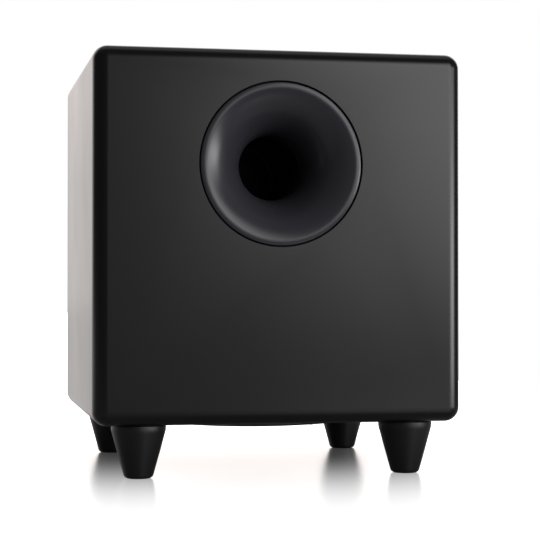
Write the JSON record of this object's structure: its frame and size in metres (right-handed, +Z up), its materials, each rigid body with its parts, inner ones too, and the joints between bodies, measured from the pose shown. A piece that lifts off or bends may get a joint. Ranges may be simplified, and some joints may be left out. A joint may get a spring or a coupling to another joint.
{
  "type": "subwoofer",
  "caption": "Powered cube subwoofer on tapered feet, with a flared front port, a down-firing driver and a rear plate amplifier.",
  "frame": {"origin": "on the floor, under the centre of the whole object's footprint", "axes": "+Z up; the front face with the port faces -Y, and +X is to the right seen from the front"},
  "size_m": [0.3174, 0.314, 0.3635],
  "materials": {
    "cabinet_paint": "satin black lacquer over fibreboard",
    "port_plastic": "smooth satin moulded plastic",
    "tube_card": "dark wound card",
    "foot_rubber": "matt black moulded rubber",
    "zinc_steel": "zinc plated",
    "black_steel": "black coated",
    "surround_rubber": "matt butyl rubber",
    "cone_polymer": "moulded polymer",
    "spider_cloth": "resin-treated cotton",
    "copper_winding": "enamelled copper wire",
    "ferrite": "sintered ferrite",
    "plate_paint": "fine-textured powder coat",
    "foam_seal": "closed-cell foam strip",
    "circuit_board": "solder-masked laminate",
    "aluminium": "extruded",
    "black_plastic": "moulded",
    "grey_plastic": "moulded",
    "nickel": "bright nickel plating",
    "lamp_lens": "tinted translucent",
    "wire_sleeve": "soft PVC sleeve"
  },
  "bodies": {
    "cabinet": {"front_baffle": "cabinet_paint", "rear_panel": "cabinet_paint", "left_panel": "cabinet_paint", "right_panel": "cabinet_paint", "top_panel": "cabinet_paint", "bottom_panel": "cabinet_paint", "port_flare": "port_plastic", "port_inner_flare": "port_plastic", "port_tube": "tube_card", "foot_front_left": "foot_rubber", "foot_front_right": "foot_rubber", "foot_rear_left": "foot_rubber", "foot_rear_right": "foot_rubber", "foot_screw_front_left": "zinc_steel", "foot_screw_front_right": "zinc_steel", "foot_screw_rear_left": "zinc_steel", "foot_screw_rear_right": "zinc_steel", "woofer_top_plate": "zinc_steel", "woofer_yoke": "zinc_steel", "woofer_frame": "black_steel", "woofer_screw_1": "black_steel", "woofer_screw_2": "black_steel", "woofer_screw_3": "black_steel", "woofer_screw_4": "black_steel", "woofer_screw_5": "black_steel", "woofer_screw_6": "black_steel", "woofer_screw_7": "black_steel", "woofer_screw_8": "black_steel", "woofer_trim_ring": "surround_rubber", "woofer_surround": "surround_rubber", "woofer_spider": "spider_cloth", "transformer": "copper_winding", "woofer_magnet": "ferrite", "amp_plate": "plate_paint", "amp_seal": "foam_seal", "amp_board": "circuit_board", "heat_sink": "aluminium", "woofer_terminal": "black_plastic", "mains_inlet": "black_plastic", "rocker_housing": "black_plastic", "filter_capacitor_a": "black_plastic", "filter_capacitor_b": "black_plastic", "volume_pot": "grey_plastic", "crossover_pot": "grey_plastic", "phase_switch_body": "grey_plastic", "mode_switch_body": "grey_plastic", "line_jack_left": "nickel", "line_jack_right": "nickel", "status_lamp": "lamp_lens", "speaker_lead": "wire_sleeve"},
    "cone_group": {"woofer_cone": "cone_polymer", "woofer_dust_cap": "cone_polymer", "woofer_voice_coil": "copper_winding"},
    "volume_dial": {"volume_knob": "black_plastic"},
    "crossover_dial": {"crossover_knob": "black_plastic"},
    "rocker": {"power_rocker": "black_plastic"},
    "phase_slider": {"phase_lever": "black_plastic"},
    "mode_slider": {"mode_lever": "black_plastic"},
    "fuse_holder": {"fuse_drawer": "black_plastic"}
  },
  "joints": [
    {"name": "cone_travel", "type": "slide", "parent": "cabinet", "child": "cone_group", "axis": [0, 0, 1], "range_m": [-0.006, 0.006], "stiffness_N_per_m": 1400, "deforming": ["woofer_surround", "woofer_spider"]},
    {"name": "volume_turn", "type": "hinge", "parent": "cabinet", "child": "volume_dial", "pos_m": [0.062, 0.143, 0.30275], "axis": [0, 1, 0], "range_deg": [-150, 150]},
    {"name": "crossover_turn", "type": "hinge", "parent": "cabinet", "child": "crossover_dial", "pos_m": [0.022, 0.143, 0.30275], "axis": [0, 1, 0], "range_deg": [-150, 150]},
    {"name": "power_rock", "type": "hinge", "parent": "cabinet", "child": "rocker", "pos_m": [-0.014, 0.141, 0.11875], "axis": [1, 0, 0], "range_deg": [-20, 0]},
    {"name": "phase_slide", "type": "slide", "parent": "cabinet", "child": "phase_slider", "axis": [1, 0, 0], "range_m": [0, 0.004]},
    {"name": "mode_slide", "type": "slide", "parent": "cabinet", "child": "mode_slider", "axis": [1, 0, 0], "range_m": [-0.003, 0.003]},
    {"name": "fuse_slide", "type": "slide", "parent": "cabinet", "child": "fuse_holder", "axis": [0, 1, 0], "range_m": [0, 0.018]}
  ]
}
